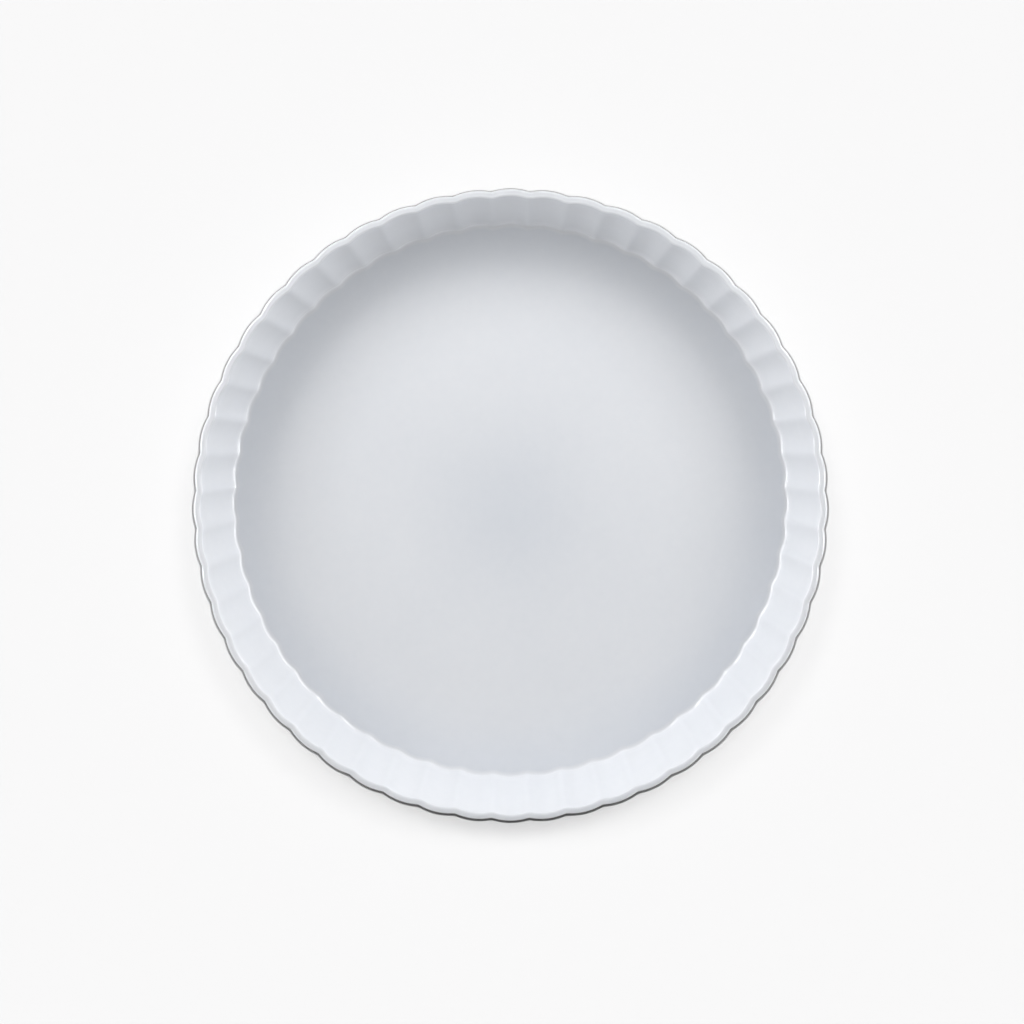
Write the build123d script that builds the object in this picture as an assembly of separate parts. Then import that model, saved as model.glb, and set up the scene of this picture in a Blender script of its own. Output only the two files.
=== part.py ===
from build123d import *
import math
import os

# A fluted quiche dish in white porcelain, lying on its foot ring with the opening up.
# The axis is +Z and the origin is the middle of the plane that the foot ring stands on.
# Lengths are millimetres and angles are degrees.

# The whole dish, over its glaze. Each wall leans out from upright by its flare.
rim_diameter = 280.0
dish_height = 38.0
floor_thickness = 4.6
inner_flare = 17.2
outer_flare = 15.6

# The flutes are shallow arcs that meet in grooves, and this is crown to groove.
flute_count = 52
flute_depth = 1.0

# The lip has a level land between an outer edge that is rounded in steps and a tighter
# inner edge. That edge and the corners at the underside and the floor are bevels.
lip_outer_round = 1.2
lip_steps = 2
lip_land = 1.4
lip_inner_round = 0.6
base_round = 3.0
floor_round = 1.5

# The foot ring, set in from the edge of the underside. It is wiped free of glaze.
foot_inset = 5.0
foot_width = 3.0
foot_height = 1.5
foot_draft = 20.0

# The glaze on all the rest. It thins over the inner edge of the lip and pools in the corner
# round the floor, where the porcelain under it is sharp.
glaze_thickness = 0.3
bare_lip_steps = 1

# Directions in the section of a wall, as degrees from level and outward.
down = -90
up = 90
inward = 180

# Worked out from the sizes above.
half_pitch = math.pi / flute_count
floor_level = foot_height + floor_thickness
outer_lip_level = dish_height - lip_outer_round
outer_lip_centre = rim_diameter / 2 - lip_outer_round * math.cos(math.radians(outer_flare))
inner_lip_level = dish_height - lip_inner_round
inner_lip_centre = outer_lip_centre - lip_land
base_level = foot_height + base_round


def across(thickness, flare):
    """The level width of a layer that lies square on a wall with this flare."""
    return thickness / math.cos(math.radians(flare))


def outer_wall(level):
    """Crown radius of the glazed outside wall, as a straight line past its corners."""
    drop = (outer_lip_level - level) * math.tan(math.radians(outer_flare))
    return outer_lip_centre + across(lip_outer_round, outer_flare) - drop


def inner_wall(level):
    """Crown radius of the glazed inside wall, as a straight line past its corners."""
    drop = (inner_lip_level - level) * math.tan(math.radians(inner_flare))
    return inner_lip_centre - across(lip_inner_round, inner_flare) - drop


base_centre = outer_wall(base_level) - across(base_round, outer_flare)


def polar(radius, angle, level):
    return (radius * math.cos(angle), radius * math.sin(angle), level)


def flute_ring(crown_radius, level):
    """The closed outline of all flutes at one level, one arc to a flute."""
    groove_radius = crown_radius - flute_depth
    arcs = []
    for number in range(flute_count):
        middle = 2 * half_pitch * number
        start = polar(groove_radius, middle - half_pitch, level)
        crown = polar(crown_radius, middle, level)
        end = polar(groove_radius, middle + half_pitch, level)
        arcs.append(Edge.make_three_point_arc(start, crown, end))
    return Wire(arcs)


def corner(centre_radius, level, radius, start, end, steps):
    """Stations round a corner of the section, from one direction of it to another, each
    as (crown radius, level)."""
    stations = []
    for step in range(steps + 1):
        angle = math.radians(start + (end - start) * step / steps)
        across_part = radius * math.cos(angle)
        stations.append((centre_radius + across_part, level + radius * math.sin(angle)))
    return stations


def inner_edges(skin):
    """Stations from the land of the lip to the floor: bevels on the glaze, and sharp
    corners on the bare porcelain under it."""
    if skin == 0:
        low = floor_level + floor_round
        low_radius = inner_wall(low) - across(floor_round, inner_flare)
        high_edge = corner(
            inner_lip_centre, inner_lip_level, lip_inner_round, up, inward - inner_flare, 1
        )
        return high_edge + corner(low_radius, low, floor_round, -inner_flare, down, 1)
    grown = across(skin, inner_flare)
    sharp_levels = [dish_height - skin, floor_level - skin]
    return [(inner_wall(level) + grown, level) for level in sharp_levels]


def fluted_dish(skin, steps):
    """The dish above its foot ring, drawn in by a skin. Its ruled faces run through the
    outlines at the stations, up the outside, over the lip and down the inside."""
    lip_radius = lip_outer_round - skin
    stations = corner(base_centre, base_level, base_round - skin, down, -outer_flare, 1)
    stations += corner(outer_lip_centre, outer_lip_level, lip_radius, -outer_flare, up, steps)
    stations += inner_edges(skin)
    rings = [flute_ring(radius, level) for radius, level in stations]
    return Solid.make_loft(rings, ruled=True)


def foot_ring():
    """The foot ring from the bearing plane up into the floor, wider towards its root."""
    middle = base_centre - flute_depth - foot_inset - foot_width / 2
    root = foot_height + floor_thickness / 2
    root_half = foot_width / 2 + root * math.tan(math.radians(foot_draft))
    outline = Polyline(
        (middle - foot_width / 2, 0),
        (middle + foot_width / 2, 0),
        (middle + root_half, root),
        (middle - root_half, root),
        close=True,
    )
    return revolve(Plane.XZ * make_face(outline), Axis.Z)


def make_porcelain_body():
    """The pressed and fired body, with the whole foot ring."""
    return fluted_dish(glaze_thickness, bare_lip_steps) + foot_ring()


def make_glaze(body):
    """What the seen dish has over the body: the patch in the foot ring's recess, and the
    coat over all the rest. The bare foot ring keeps the two apart."""
    seen = fluted_dish(0, lip_steps)
    layers = (seen - body).solids().sort_by(SortBy.AREA)
    return layers[0], layers[-1]


porcelain_body = make_porcelain_body()
recess_glaze, glaze_coat = make_glaze(porcelain_body)

os.makedirs("parts", exist_ok=True)
export_step(porcelain_body, "parts/porcelain_body.step")
export_step(glaze_coat, "parts/glaze_coat.step")
export_step(recess_glaze, "parts/recess_glaze.step")
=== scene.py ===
# %% [markdown]
# # A fluted quiche dish in white porcelain
#
# The real dish is one pressed piece of porcelain with a thin coat of white glaze melted over
# it. This lesson loads the exact CAD model as a frame that never moves, replaces its plain
# coat of glaze with a finely rounded one, gives glaze and bare porcelain their finishes, and
# then sets up the floor, the light and the camera.

# %% Load the frame
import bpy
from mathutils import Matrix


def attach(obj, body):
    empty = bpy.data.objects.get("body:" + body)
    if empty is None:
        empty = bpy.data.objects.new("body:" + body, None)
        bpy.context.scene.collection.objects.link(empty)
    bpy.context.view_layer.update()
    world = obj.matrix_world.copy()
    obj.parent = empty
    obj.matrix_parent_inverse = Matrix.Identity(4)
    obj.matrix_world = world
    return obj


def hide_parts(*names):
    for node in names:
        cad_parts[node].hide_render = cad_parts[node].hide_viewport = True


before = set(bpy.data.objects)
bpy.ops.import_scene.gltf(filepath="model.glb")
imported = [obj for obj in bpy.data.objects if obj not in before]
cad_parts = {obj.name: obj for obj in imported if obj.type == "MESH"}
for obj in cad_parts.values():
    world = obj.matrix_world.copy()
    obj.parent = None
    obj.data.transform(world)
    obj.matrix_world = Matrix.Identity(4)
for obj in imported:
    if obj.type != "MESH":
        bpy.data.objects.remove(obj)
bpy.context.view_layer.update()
print("CAD nodes:", sorted(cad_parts))

# %% The other modules
import math

import bmesh
import bpy
from mathutils import Vector

# %% [markdown]
# ## Sizes
#
# A potter thinks in millimetres, so every length here is one, and each finished mesh is
# scaled to Blender's metres at its very end. The dish is drawn as a section: the curve that
# a saw cut through its axis would show. These are the numbers of that section. The grooves
# between the flutes have a radius too: wide inside, where glaze runs into them, tighter
# outside, and none on the hidden porcelain.

# %% Sizes of the section, in millimetres
METRES = 0.001
RIM_RADIUS = 140.0
FLUTES = 52
PITCH = 2 * math.pi / FLUTES
FLUTE_DEPTH = 1.0
OUTER_FLARE = math.radians(15.6)
INNER_FLARE = math.radians(17.2)
GLAZE = 0.3
FOOT_LEVEL = 1.5
FLOOR_LEVEL = 6.1
BASE_ROUND = 3.0
BASE_CENTRE = (127.957, FOOT_LEVEL + BASE_ROUND)
FLOOR_ROUND = 1.5
FLOOR_CENTRE = (126.022, FLOOR_LEVEL + FLOOR_ROUND)
LIP_OUTER_ROUND = 1.2
LIP_OUTER_CENTRE = (138.79, 36.62)
LIP_INNER_ROUND = 1.0
LIP_INNER_CENTRE = (137.741, 36.96)
LIP_SLOPE = math.radians(8)
FOOT_SIDE = 122.503
OUTSIDE_GROOVE = 3.0
INSIDE_GROOVE = 7.0
HIDDEN_GROOVE = 0.0
print("flutes:", FLUTES, "of", round(math.degrees(PITCH), 2), "degrees")

# %% [markdown]
# ## The outline of one flute
#
# Seen from above, the rim is a row of shallow lobes with soft grooves between them. Two
# circles that touch draw that well: one for the lobe, one for the groove. The function gives
# how far the wall lies inside the circle through the crowns, at any angle round the dish.
# With no groove radius the lobes meet in a crease, which is how the bare clay is pressed.

# %% How deep a flute is at an angle
def flute_dip(angle, crown, groove_round):
    half = PITCH / 2
    aside = abs((angle + half) % PITCH - half)
    groove_distance = crown - FLUTE_DEPTH + groove_round
    along = groove_distance * math.cos(half) - crown
    out = groove_distance * math.sin(half)
    lobe_round = (along**2 + out**2 - groove_round**2) / (2 * (groove_round - along))
    lean = math.atan2(out, along + lobe_round)
    centre = crown - lobe_round
    meet = math.atan2(lobe_round * math.sin(lean), centre + lobe_round * math.cos(lean))
    if aside <= meet:
        reach = math.sqrt(lobe_round**2 - (centre * math.sin(aside)) ** 2)
        return crown - centre * math.cos(aside) - reach
    from_groove = half - aside
    square = groove_round**2 - (groove_distance * math.sin(from_groove)) ** 2
    radius = groove_distance * math.cos(from_groove) - math.sqrt(max(square, 0))
    return crown - radius


for share in (0, 0.25, 0.5):
    dip = flute_dip(share * PITCH, RIM_RADIUS, OUTSIDE_GROOVE)
    print("dip at", share, "of a pitch:", round(dip, 3), "mm")

# %% [markdown]
# ## The section of the glaze
#
# The glaze is a closed skin 0.3 mm thick. Its section starts on the axis, runs over the
# floor, round the corner, up the wall, over the lip and down the outside to the foot ring,
# and then comes back along the porcelain. Each point also says how strongly the flutes move
# it, how round the grooves are there and how much shade is painted into the floor's colour
# there. It also says how much of a grey the point takes: on the lip that grey is painted
# shade, and the glaze's edge at the foot takes it too. Two helpers, one for arcs and one for
# straight runs, keep it readable.

# %% Section points
# The last two facts carry painted shade: on the floor, and on the lip, where the glaze's edge
# at the foot takes the same grey.
def station(radius, level, flutes=1.0, groove=OUTSIDE_GROOVE, tone_and_painted_shade=0.0, thin=0.0):
    return {
        "radius": radius, "level": level, "flutes": flutes,
        "groove": groove, "tone_and_painted_shade": tone_and_painted_shade, "thin": thin,
    }


def arc(centre, radius, start, end, steps, **facts):
    points = []
    for step in range(steps + 1):
        angle = math.radians(start + (end - start) * step / steps)
        points.append(station(
            centre[0] + radius * math.cos(angle), centre[1] + radius * math.sin(angle), **facts
        ))
    return points


def run(first, last, steps, **facts):
    """Points between two stations, without the two themselves."""
    points = []
    for step in range(1, steps):
        share = step / steps
        points.append(station(
            first["radius"] + share * (last["radius"] - first["radius"]),
            first["level"] + share * (last["level"] - first["level"]),
            **facts,
        ))
    return points


# %% [markdown]
# ## The seen side
#
# The potter's glaze lies flat over the floor and follows the wall. On the floor the rings
# carry a painted shade: full in the middle, none half way out, full again at the edge. The
# flutes start a few millimetres before the corner. The lip slopes outwards a little, as on
# a dish whose rim was sponged by hand, and shade is painted all over it as a greyer colour.

# %% From the axis over the lip to the foot ring
outer_degrees = math.degrees(OUTER_FLARE)
inner_degrees = math.degrees(INNER_FLARE)
# Each ring is its radius, the strength of the flutes and the painted shade.
floor_rings = (
    (0, 0, 1), (12, 0, 0.9), (24, 0, 0.62), (36, 0, 0.33), (50, 0, 0.1), (70, 0, 0),
    (92, 0, 0), (102, 0, 0.2), (110, 0, 0.55), (116, 0, 0.85), (121, 0.5, 1),
    (123.6, 1, 1), (124.8, 1, 1),
)
floor_points = [
    station(radius, FLOOR_LEVEL, flutes=flutes, groove=INSIDE_GROOVE, tone_and_painted_shade=tone_and_painted_shade)
    for radius, flutes, tone_and_painted_shade in floor_rings
]
floor_corner = arc(
    FLOOR_CENTRE, FLOOR_ROUND, -90, -inner_degrees, steps=9, groove=INSIDE_GROOVE
)
lip_degrees = 90 - math.degrees(LIP_SLOPE)
# The lip's stations carry the grey that paints shade on it.
lip_inside = arc(
    LIP_INNER_CENTRE, LIP_INNER_ROUND, 180 - inner_degrees, lip_degrees, steps=8,
    groove=INSIDE_GROOVE, thin=0.3,
)
lip_outside = arc(
    LIP_OUTER_CENTRE, LIP_OUTER_ROUND, lip_degrees, -outer_degrees, steps=10, thin=1.0
)
land_groove = (INSIDE_GROOVE + OUTSIDE_GROOVE) / 2
lip_land = run(lip_inside[-1], lip_outside[0], steps=3, groove=land_groove, thin=1.0)
base_corner = arc(BASE_CENTRE, BASE_ROUND, -outer_degrees, -90, steps=8)
underside_rings = ((127.2, 0.8), (125.4, 0.3), (123.6, 0), (122.9, 0))
underside = [
    station(radius, FOOT_LEVEL, flutes=flutes) for radius, flutes in underside_rings
]
EDGE_LIFT = 0.06
# The glaze's edge at the foot takes the same grey as the lip.
glaze_edge = [station(FOOT_SIDE + EDGE_LIFT, FOOT_LEVEL + EDGE_LIFT, flutes=0, thin=1.0)]
seen = floor_points + floor_corner
seen += run(floor_corner[-1], lip_inside[0], steps=9, groove=INSIDE_GROOVE)
seen += lip_inside + lip_land + lip_outside
seen += run(lip_outside[-1], base_corner[0], steps=8)
seen += base_corner + underside + glaze_edge
print("stations on the seen side:", len(seen))

# %% [markdown]
# ## The hidden side
#
# Real glaze has no back: it is one with the clay. A mesh needs one, or its edges would stay
# open, so the section comes back 0.3 mm further in, face to face with the porcelain of the
# CAD model. Nobody sees it, so a few points are enough.

# %% Back along the porcelain
bare_base = arc(
    BASE_CENTRE, BASE_ROUND - GLAZE, -90, -outer_degrees, steps=1, groove=HIDDEN_GROOVE
)
BARE_EDGE = FOOT_SIDE + 0.11
# Radius and level of the porcelain's outer lip, its top, and the sharp foot of its wall.
bare_corners = ((139.71, 36.56), (138.84, 37.7), (137.21, 37.7), (127.35, 5.8))
bare_floor = (118, 60, 0)
hidden = [station(BARE_EDGE, FOOT_LEVEL + GLAZE, flutes=0)] + bare_base
hidden += [
    station(radius, level, groove=HIDDEN_GROOVE) for radius, level in bare_corners
]
hidden += [
    station(radius, FLOOR_LEVEL - GLAZE, flutes=0, groove=HIDDEN_GROOVE)
    for radius in bare_floor
]
print("stations on the hidden side:", len(hidden))

# %% [markdown]
# ## Spinning the section into a coat of glaze
#
# The section becomes a chain of vertices, and Blender's spin operator turns it through one
# flute, like a profile tool on a potter's wheel. Sixteen steps put a row of vertices exactly
# on each crown and each groove. Then each vertex moves inwards by the depth of the flute at
# its angle. A second spin, with duplicates, repeats that one flute all the way round, and
# the doubled vertices along the seams and at the axis are merged.

# %% Spin, flute, repeat and finish a skin
STEPS_PER_FLUTE = 16
SEAM = 0.001
FACTS = ("flutes", "groove", "tone_and_painted_shade", "thin")
AXIS = {"cent": (0, 0, 0), "axis": (0, 0, 1)}


def spun_skin(name, stations, material):
    mesh = bmesh.new()
    layers = {fact: mesh.verts.layers.float.new(fact) for fact in FACTS}
    chain = []
    for point in stations:
        vertex = mesh.verts.new((point["radius"], 0, point["level"]))
        for fact, layer in layers.items():
            vertex[layer] = point[fact]
        chain.append(vertex)
    edges = [mesh.edges.new(pair) for pair in zip(chain, chain[1:])]
    bmesh.ops.spin(mesh, geom=chain + edges, angle=PITCH, steps=STEPS_PER_FLUTE, **AXIS)
    for vertex in mesh.verts:
        crown = math.hypot(vertex.co.x, vertex.co.y)
        weight = vertex[layers["flutes"]]
        if weight > 0:
            angle = math.atan2(vertex.co.y, vertex.co.x)
            dip = flute_dip(angle, crown, vertex[layers["groove"]])
            vertex.co.x *= 1 - weight * dip / crown
            vertex.co.y *= 1 - weight * dip / crown
    one_flute = mesh.verts[:] + mesh.edges[:] + mesh.faces[:]
    bmesh.ops.spin(
        mesh, geom=one_flute, angle=2 * math.pi - PITCH, steps=FLUTES - 1,
        use_duplicate=True, **AXIS,
    )
    bmesh.ops.remove_doubles(mesh, verts=mesh.verts, dist=SEAM)
    bmesh.ops.recalc_face_normals(mesh, faces=mesh.faces)
    bmesh.ops.scale(mesh, vec=(METRES, METRES, METRES), verts=mesh.verts)
    for face in mesh.faces:
        face.smooth = True
    print(name, "has open edges:", sum(not edge.is_manifold for edge in mesh.edges))
    data = bpy.data.meshes.new(name)
    mesh.to_mesh(data)
    mesh.free()
    piece = bpy.data.objects.new(name, data)
    bpy.context.scene.collection.objects.link(piece)
    data.materials.append(material)
    print(name, "has", len(data.polygons), "faces")
    return piece


# %% [markdown]
# ## Writing shader maths as sums
#
# The glaze varies in colour, gloss and height from place to place. Each of those is a small
# sum of patterns, so one class wraps a node socket and turns plus, minus, times and divided
# by into Math nodes. A second one makes every other node, and a third is a finish: a shader
# whose constants are set once and whose colour, roughness and bump are driven by such sums.

# %% Sockets that can be added and multiplied
class Value:
    """A number that varies over the surface, as a socket that can be used in sums."""

    def __init__(self, nodes, socket):
        self.nodes = nodes
        self.socket = socket

    def _math(self, operation, first, second):
        inputs = {0: first, 1: second}
        node = self.nodes.add("ShaderNodeMath", {"operation": operation}, inputs)
        return Value(self.nodes, node.outputs[0])

    def __add__(self, other):
        return self._math("ADD", self, other)

    def __radd__(self, other):
        return self._math("ADD", other, self)

    def __sub__(self, other):
        return self._math("SUBTRACT", self, other)

    def __rsub__(self, other):
        return self._math("SUBTRACT", other, self)

    def __mul__(self, other):
        return self._math("MULTIPLY", self, other)

    def __rmul__(self, other):
        return self._math("MULTIPLY", other, self)

    def __truediv__(self, other):
        return self._math("DIVIDE", self, other)

    def __rtruediv__(self, other):
        return self._math("DIVIDE", other, self)

    def below(self, limit):
        return self._math("LESS_THAN", self, limit)

    def above(self, limit):
        return self._math("GREATER_THAN", self, limit)


# %% One method that makes every node
class Nodes:
    """The nodes of a material or of the room."""

    def __init__(self, owner):
        owner.use_nodes = True
        self.tree = owner.node_tree
        self.tree.nodes.clear()

    def add(self, kind, settings=None, inputs=None):
        node = self.tree.nodes.new(kind)
        for setting, value in (settings or {}).items():
            setattr(node, setting, value)
        for socket, value in (inputs or {}).items():
            source = value.socket if isinstance(value, Value) else value
            if isinstance(source, bpy.types.NodeSocket):
                self.tree.links.new(source, node.inputs[socket])
            else:
                node.inputs[socket].default_value = source
        return node

    def value(self, kind, output, settings=None, inputs=None):
        """One output of a new node, ready for sums."""
        return Value(self, self.add(kind, settings, inputs).outputs[output])


# %% A finish, as one shader
class Finish(Nodes):
    """A material with one shader, the patterns that vary it and what they drive."""

    def __init__(self, name, constants):
        self.material = bpy.data.materials.new(name)
        super().__init__(self.material)
        self.shader = self.add("ShaderNodeBsdfPrincipled", {}, constants)
        self.add("ShaderNodeOutputMaterial", {}, {"Surface": self.shader.outputs["BSDF"]})
        self.place = self.add("ShaderNodeTexCoord").outputs["Object"]

    def noise(self, scale, detail=2.0):
        """Soft random patches from 0 to 1. The scale is patches to a metre."""
        inputs = {"Vector": self.place, "Scale": scale, "Detail": detail}
        return self.value("ShaderNodeTexNoise", "Fac", {}, inputs)

    def attribute(self, name):
        """A fact that the mesh carries at each vertex."""
        return self.value("ShaderNodeAttribute", "Fac", {"attribute_name": name})

    def mix(self, share, first, second):
        """Two colours mixed. The node's colour inputs are 6 and 7, and its output is 2."""
        settings = {"data_type": "RGBA", "clamp_factor": True}
        return self.value("ShaderNodeMix", 2, settings, {0: share, 6: first, 7: second})

    def drive(self, socket, value):
        self.tree.links.new(value.socket, self.shader.inputs[socket])

    def bump(self, height, distance):
        inputs = {"Height": height, "Distance": distance, "Strength": 1.0}
        self.drive("Normal", self.value("ShaderNodeBump", "Normal", {}, inputs))


# %% [markdown]
# ## White glaze
#
# A white glaze isn't one white. It is cool and a little deeper in random clouds. Shade is
# painted into it as a deeper colour in mid-floor and round the floor's edge, and as a greyer
# colour all over the lip. The glaze's edge at the foot takes that grey too. A few pinholes and
# specks are left from the firing. Its gloss is soft, and its surface has the slow waves and
# the fine orange peel that make reflections swim. All patterns sit on the object, so they
# stay put in any view.

# %% The glaze finish
GLAZE_WHITE = (0.843, 0.860, 0.894, 1)
# The deeper colour serves both the random clouds and the painted shade on the floor.
GLAZE_DEEP_AND_SHADED = (0.730, 0.760, 0.812, 1)
# This grey is painted shade on the lip, and the glaze's edge at the foot takes it too.
GLAZE_LIP_SHADE_GREY = (0.765, 0.785, 0.820, 1)
GLAZE_SPECK = (0.560, 0.540, 0.500, 1)
GLAZE_SHADER = {"IOR": 1.5, "Coat Weight": 1.0, "Coat Roughness": 0.03}
# Patches to a metre, from the largest to the smallest.
CLOUDS = 14
GLOSS_PATCHES = 45
SPECK_CELLS = 70
WAVES = 75
MOTTLE = 260
PEEL = 1100
SPECK_SIZE = 0.022
SPECKS_FROM = 0.93
GLOSS = 0.16
WAVE_HEIGHT = 0.00006


def white_glaze(name, on_coat):
    glaze = Finish(name, GLAZE_SHADER)
    clouds = glaze.noise(CLOUDS, 3.0)
    mottle = glaze.noise(MOTTLE, 2.0)
    # Clouds and mottle are the glaze's own random tone. On the coat, the painted shade of
    # mid-floor and the floor's edge is added to them.
    tone_and_painted_shade = (clouds - 0.5) * 0.5 + (mottle - 0.5) * 0.25 + 0.12
    if on_coat:
        tone_and_painted_shade = tone_and_painted_shade + glaze.attribute("tone_and_painted_shade") * 0.7
    colour = glaze.mix(tone_and_painted_shade, GLAZE_WHITE, GLAZE_DEEP_AND_SHADED)
    # On the coat, the lip is painted greyer as shade, and the glaze's edge at the foot takes
    # the same grey.
    if on_coat:
        colour = glaze.mix(glaze.attribute("thin") * 0.9, colour, GLAZE_LIP_SHADE_GREY)
    inputs = {"Vector": glaze.place, "Scale": SPECK_CELLS}
    cells = glaze.add("ShaderNodeTexVoronoi", {}, inputs)
    near = Value(glaze, cells.outputs["Distance"]).below(SPECK_SIZE)
    split = {"Color": cells.outputs["Color"]}
    chance = glaze.value("ShaderNodeSeparateColor", "Red", {}, split)
    speck = near * chance.above(SPECKS_FROM)
    glaze.drive("Base Color", glaze.mix(speck * 0.35, colour, GLAZE_SPECK))
    dulled = glaze.noise(GLOSS_PATCHES, 2.0) * 0.08 + mottle * 0.02
    glaze.drive("Roughness", dulled + GLOSS)
    waves = glaze.noise(WAVES, 1.0)
    peel = glaze.noise(PEEL, 1.0)
    glaze.bump(waves + peel * 0.04 - speck * 0.3, WAVE_HEIGHT)
    return glaze.material


coat_glaze = white_glaze("white_glaze", on_coat=True)
recess_material = white_glaze("recess_white_glaze", on_coat=False)
print("glaze nodes:", len(coat_glaze.node_tree.nodes))

# %% [markdown]
# ## Bare porcelain
#
# Only the foot ring is bare, because a glazed foot would stick to the kiln shelf. Fired
# porcelain without glaze is matte, a little warmer than the glaze and as fine as an
# eggshell. Its bearing face picks up grey marks from shelves and oven racks.

# %% The bare finish
BARE_CLAY = (0.800, 0.785, 0.745, 1)
BARE_PALE = (0.850, 0.838, 0.805, 1)
BARE_MARK = (0.520, 0.515, 0.500, 1)
BARE_SHADER = {"IOR": 1.45, "Specular IOR Level": 0.3}
# Patches to a metre, from the largest to the smallest.
WORN_PARTS = 28
BARE_PATCHES = 55
SCUFFS = 420
GRAIN = 3200
SCUFFS_FROM = 0.60
BARE_ROUGHNESS = 0.72
GRAIN_HEIGHT = 0.00003

bare = Finish("bare_porcelain", BARE_SHADER)
grain = bare.noise(GRAIN, 2.0)
patches = bare.noise(BARE_PATCHES, 3.0)
clay = bare.mix(patches * 0.7 + grain * 0.4 - 0.1, BARE_CLAY, BARE_PALE)
scuffs = (bare.noise(SCUFFS, 3.0) - SCUFFS_FROM) * 6.0 * bare.noise(WORN_PARTS, 1.0)
bare.drive("Base Color", bare.mix(scuffs, clay, BARE_MARK))
bare.drive("Roughness", BARE_ROUGHNESS + grain * 0.2)
bare.bump(grain + patches * 0.5, GRAIN_HEIGHT)
print("bare porcelain nodes:", len(bare.tree.nodes))

# %% [markdown]
# ## The pieces
#
# The fine coat takes the place of the CAD coat, which stays in the physics. The porcelain
# body and the glaze in the foot ring's recess are right as they are, so they only get
# their finish.

# %% Make the coat and dress the CAD nodes
coat = spun_skin("glaze_skin", seen + hidden, coat_glaze)
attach(coat, "root")
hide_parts("glaze_coat")
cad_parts["porcelain_body"].material_slots[0].material = bare.material
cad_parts["recess_glaze"].material_slots[0].material = recess_material

# %% [markdown]
# ## Floor
#
# The photograph was taken on seamless white. A sheet of paper under the dish catches its
# shadow. The sheet is grey, because a white one would take so much light from the dish's
# bright wall that it glowed beside it. Its own lamps, further down, bring it up to white.
# One of them hangs beside the camera and reaches the far paper at a slant, so the grey gets
# paler with the distance from that lamp, as much as the slant takes away. A little glow that
# only the camera sees fills the darkest of the shadow.

# %% The paper's material
STAGE_SIZE = 16.0
STAGE_LEVEL = -0.00005
PAPER_GLOW = 0.02
PAPER_GREY = 0.15
PAPER_PALE = 0.45
OUTLINE_PLACE = Vector((0.0, 0.073, 0.78))
SUNS_SHARE = 0.375

paper = bpy.data.materials.new("white_paper")
sheet_nodes = Nodes(paper)
looked_at = sheet_nodes.value("ShaderNodeLightPath", "Is Camera Ray")
place = sheet_nodes.add("ShaderNodeTexCoord").outputs["Object"]
between = {0: place, 1: OUTLINE_PLACE}
far = sheet_nodes.value("ShaderNodeVectorMath", "Value", {"operation": "DISTANCE"}, between)
lift = far / (far * SUNS_SHARE + (1 - SUNS_SHARE) * OUTLINE_PLACE.z)
paler = (lift - 1) * (PAPER_GREY / (PAPER_PALE - PAPER_GREY))
greys = {0: paler}
for number, grey in enumerate((PAPER_GREY, PAPER_PALE), start=1):
    colour = {"Color": (grey, grey, grey, 1)}
    greys[number] = sheet_nodes.add("ShaderNodeBsdfDiffuse", {}, colour).outputs[0]
plain = sheet_nodes.add("ShaderNodeMixShader", {}, greys).outputs[0]
glow = sheet_nodes.add("ShaderNodeEmission", {}, {"Strength": PAPER_GLOW}).outputs[0]
lifted = sheet_nodes.add("ShaderNodeAddShader", {}, {0: plain, 1: glow}).outputs[0]
surface = sheet_nodes.add("ShaderNodeMixShader", {}, {0: looked_at, 1: plain, 2: lifted})
sheet_nodes.add("ShaderNodeOutputMaterial", {}, {"Surface": surface.outputs[0]})
print("paper nodes:", len(sheet_nodes.tree.nodes))

# %% The sheet of paper
sheet = bmesh.new()
bmesh.ops.create_grid(sheet, x_segments=1, y_segments=1, size=STAGE_SIZE / 2)
bmesh.ops.translate(sheet, vec=(0, 0, STAGE_LEVEL), verts=sheet.verts)
sheet_data = bpy.data.meshes.new("paper_floor")
sheet.to_mesh(sheet_data)
sheet.free()
floor = bpy.data.objects.new("paper_floor", sheet_data)
sheet_data.materials.append(paper)
bpy.context.scene.collection.objects.link(floor)
print("paper lies at", STAGE_LEVEL, "m")

# %% [markdown]
# ## Light
#
# The wall is bright at the bottom of the picture, where it faces up to the light, and in
# soft shade at the top. That is a light tent that is open to its upper half: soft lamps
# stand low round the dish, and the ones above and beside it are the strongest. Their
# strengths were fitted to the photograph's tones round the wall and over the floor. They
# light the dish alone, so that the paper can have its own light.

# %% What each lamp may light
dish_alone = bpy.data.collections.new("dish_alone")
for piece in (coat, *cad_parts.values()):
    dish_alone.objects.link(piece)
paper_alone = bpy.data.collections.new("paper_alone")
paper_alone.objects.link(floor)


def toward_lamp(clock, height):
    """The way from the dish to a lamp. The clock is in degrees from the top of the picture,
    and the height in degrees above level."""
    side = math.radians(clock)
    rise = math.radians(height)
    level = math.cos(rise)
    return Vector((math.sin(side) * level, math.cos(side) * level, math.sin(rise)))


# %% The ring of soft lamps round the dish
RIM_CENTRE = Vector((0, 0, 0.038))
RING_DISTANCE = 1.3
RING_LAMP_SIZE = 0.5
LEFT_SHARE = 1.05
RIGHT_SHARE = 0.97


def ring_lamp(name, clock, height, power):
    direction = toward_lamp(clock, height)
    data = bpy.data.lights.new(name, "AREA")
    data.size = RING_LAMP_SIZE
    data.energy = power
    lamp = bpy.data.objects.new(name, data)
    lamp.location = RIM_CENTRE + direction * RING_DISTANCE
    lamp.rotation_euler = direction.to_track_quat("Z", "Y").to_euler()
    lamp.light_linking.receiver_collection = dish_alone
    bpy.context.scene.collection.objects.link(lamp)


ring_lamp("top_lamp", clock=0, height=35, power=1.15)
ring_lamp("bottom_lamp", clock=180, height=18, power=0.39)
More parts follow.
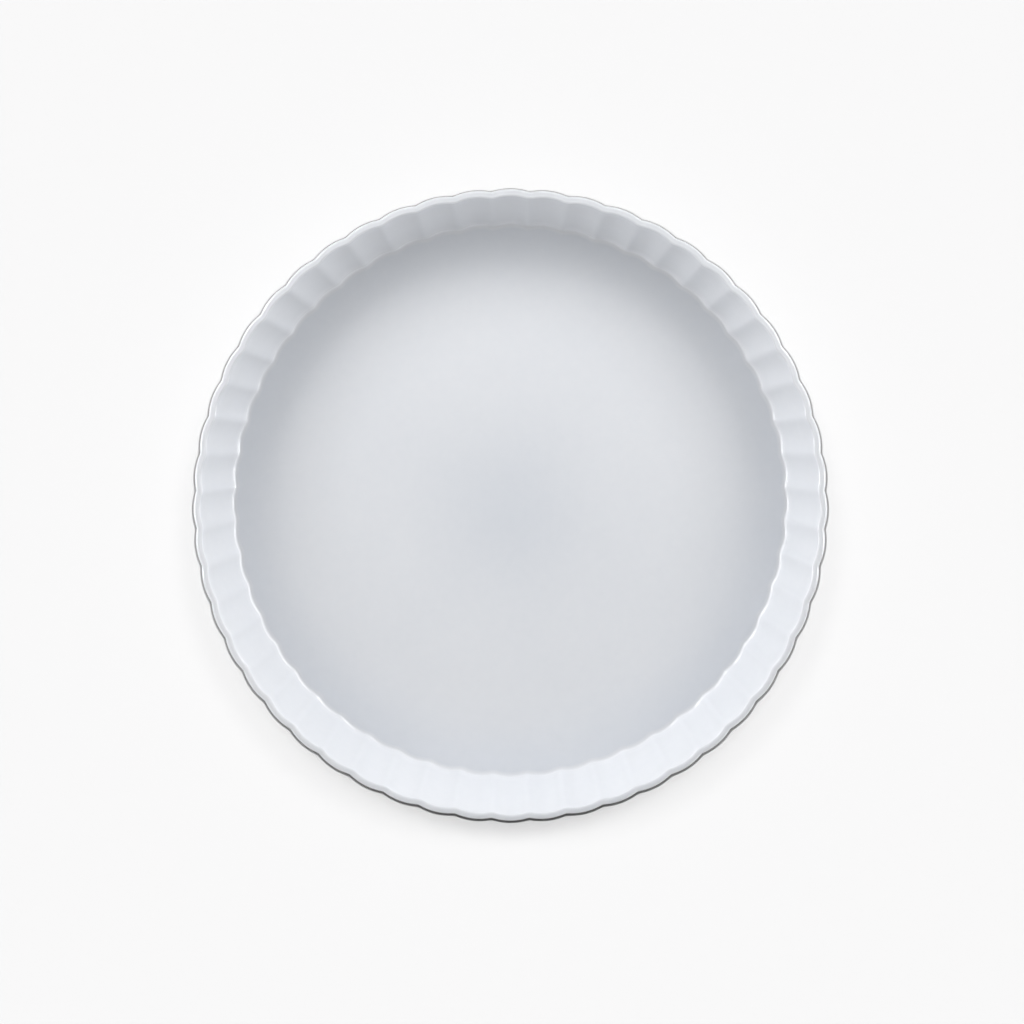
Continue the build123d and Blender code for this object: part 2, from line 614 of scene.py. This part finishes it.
# Each pair is its clock, height and power.
ring_pairs = (
    (22.5, 35, 1.98), (45, 35, 1.71), (67.5, 35, 1.79), (90, 35, 1.93), (112.5, 35, 0.26),
    (45, 18, 1.16), (67.5, 18, 1.92), (90, 18, 1.82), (112.5, 18, 1.51), (135, 18, 0.93),
    (157.5, 18, 0.70),
)
for number, (clock, height, power) in enumerate(ring_pairs):
    ring_lamp(f"right_lamp_{number}", clock, height, power * RIGHT_SHARE)
    ring_lamp(f"left_lamp_{number}", -clock, height, power * LEFT_SHARE)
print("lamps in the ring:", 2 + 2 * len(ring_pairs))

# %% [markdown]
# ## Glints
#
# At the left and right of the photograph small bright glints sit on the lip and in the
# corner round the floor. They are mirror images of something bright and narrow. Four strips
# stand in for it. They light nothing in the matte part of the glaze and show in mirrored
# rays alone, so the tones that the ring of lamps gives stay as they are.

# %% Four long lamps that only glint
GLINT_SIZE = (0.4, 0.2)
GLINT_POWER = 3.5
GLINT_HEIGHT = 27


def glint_lamp(name, clock, height):
    """A bright strip that shows in mirrored rays alone."""
    direction = toward_lamp(clock, height)
    data = bpy.data.lights.new(name, "AREA")
    data.shape = "RECTANGLE"
    data.size, data.size_y = GLINT_SIZE
    data.energy = GLINT_POWER
    lamp = bpy.data.objects.new(name, data)
    lamp.location = RIM_CENTRE + direction * RING_DISTANCE
    lamp.rotation_euler = direction.to_track_quat("Z", "Y").to_euler()
    lamp.visible_diffuse = False
    lamp.light_linking.receiver_collection = dish_alone
    bpy.context.scene.collection.objects.link(lamp)


glints = (
    ("right_glint", 60), ("left_glint", -58), ("right_side_glint", 97), ("left_side_glint", -95)
)
for name, clock in glints:
    glint_lamp(name, clock, GLINT_HEIGHT)
print("glint lamps:", len(glints))

# %% [markdown]
# ## The light on the paper
#
# Three suns light the paper alone, evenly over the whole sheet, and the dish stands in
# their way. A high, soft one draws the shade below the lower lip, and two lower ones, from
# the upper left and the upper right, carry it round to both sides. The last lamp hangs
# right beside the camera. The shadow that it throws hides behind the dish but for a hair,
# and that hair is the fine dark line round the lip, without which white on white would
# have no edge.

# %% Three suns for the shadow
def paper_sun(name, clock, height, softness, strength):
    """The softness is how many degrees of the sky the sun fills."""
    data = bpy.data.lights.new(name, "SUN")
    data.energy = strength
    data.angle = math.radians(softness)
    lamp = bpy.data.objects.new(name, data)
    lamp.rotation_euler = toward_lamp(clock, height).to_track_quat("Z", "Y").to_euler()
    lamp.light_linking.receiver_collection = paper_alone
    bpy.context.scene.collection.objects.link(lamp)


side_sun = {"height": 58, "softness": 12, "strength": 1.65}
paper_sun("main_shadow_sun", clock=0, height=69.5, softness=17, strength=4.65)
paper_sun("left_shadow_sun", clock=-36, **side_sun)
paper_sun("right_shadow_sun", clock=36, **side_sun)

# %% The lamp beside the camera, with no loss over distance
OUTLINE_POWER = 151.0
OUTLINE_SIZE = 0.0015
outline_data = bpy.data.lights.new("outline_lamp", "POINT")
outline_data.energy = OUTLINE_POWER
outline_data.shadow_soft_size = OUTLINE_SIZE
outline_nodes = Nodes(outline_data)
evenly = outline_nodes.value("ShaderNodeLightFalloff", "Constant", {}, {"Strength": 1.0})
beam = outline_nodes.add("ShaderNodeEmission", {}, {"Strength": evenly})
outline_nodes.add("ShaderNodeOutputLight", {}, {"Surface": beam.outputs[0]})
outline_lamp = bpy.data.objects.new("outline_lamp", outline_data)
outline_lamp.location = OUTLINE_PLACE
outline_lamp.light_linking.receiver_collection = paper_alone
bpy.context.scene.collection.objects.link(outline_lamp)
print("the outline lamp hangs", OUTLINE_PLACE.z, "m up")

# %% [markdown]
# ## The room
#
# The room gives a faint light from everywhere. The camera sees it as white as the paper.
# Mirrored rays see a tent that is a little less white, so the glaze mirrors white. Only
# straight above the dish the tent has its opening, which the glaze mirrors as a soft dark
# spot in mid-floor.

# %% The white room and its opening
# Both strengths multiply the grey of 0.8 that a new background has.
AMBIENT = 0.08
BACKDROP = 1.184
TENT_WHITE = 0.786
OPENING = Vector((-0.005, -0.125, 1)).normalized()
OPENING_CORE = math.cos(math.radians(1.0))
OPENING_EDGE = math.cos(math.radians(7.0))
TENT_NEAR = math.cos(math.radians(18.0))
TENT_FAR = math.cos(math.radians(32.0))

world = bpy.data.worlds.new("white_room")
bpy.context.scene.world = world
room = Nodes(world)
looks = room.add("ShaderNodeLightPath").outputs
way = room.add("ShaderNodeTexCoord").outputs["Generated"]
product = {"operation": "DOT_PRODUCT"}
toward = room.value("ShaderNodeVectorMath", "Value", product, {0: way, 1: OPENING})
soft_step = {"interpolation_type": "SMOOTHSTEP"}
# The inputs of Map Range are the value, from least and most, to least and most.
opening = {0: toward, 1: OPENING_EDGE, 2: OPENING_CORE, 3: 1.0, 4: 0.0}
roof = {0: toward, 1: TENT_FAR, 2: TENT_NEAR, 3: 0.0, 4: 1.0}
tent = room.value("ShaderNodeMapRange", "Result", soft_step, opening)
tent = tent * room.value("ShaderNodeMapRange", "Result", soft_step, roof)
mirrored = Value(room, looks["Is Glossy Ray"]) * tent * TENT_WHITE
sees_white = Value(room, looks["Is Camera Ray"]) + mirrored
faint = room.add("ShaderNodeBackground", {}, {"Strength": AMBIENT}).outputs[0]
white = room.add("ShaderNodeBackground", {}, {"Strength": BACKDROP}).outputs[0]
light = room.add("ShaderNodeMixShader", {}, {0: sees_white, 1: faint, 2: white})
room.add("ShaderNodeOutputWorld", {}, {"Surface": light.outputs[0]})
print("room nodes:", len(room.tree.nodes))

# %% [markdown]
# ## The camera
#
# The photograph looks almost straight into the dish, from a touch above its middle. The
# rim is a near circle 633 pixels wide in a frame of 1024, which a camera 0.84 m away sees
# through an angle of 30 degrees.

# %% Camera
CAMERA_DISTANCE = 0.84
CAMERA_TILT = math.radians(5.1)
VIEW_ANGLE = math.radians(30.1)
AIM = Vector((0.0007, -0.0010, 0.038))

camera_data = bpy.data.cameras.new("camera")
camera_data.angle = VIEW_ANGLE
camera = bpy.data.objects.new("camera", camera_data)
back = Vector((0, math.sin(CAMERA_TILT), math.cos(CAMERA_TILT)))
camera.location = AIM + back * CAMERA_DISTANCE
camera.rotation_euler = (-CAMERA_TILT, 0, 0)
bpy.context.scene.collection.objects.link(camera)
bpy.context.scene.camera = camera
bpy.context.scene.view_settings.view_transform = "Standard"
print("camera at", [round(number, 3) for number in camera.location])
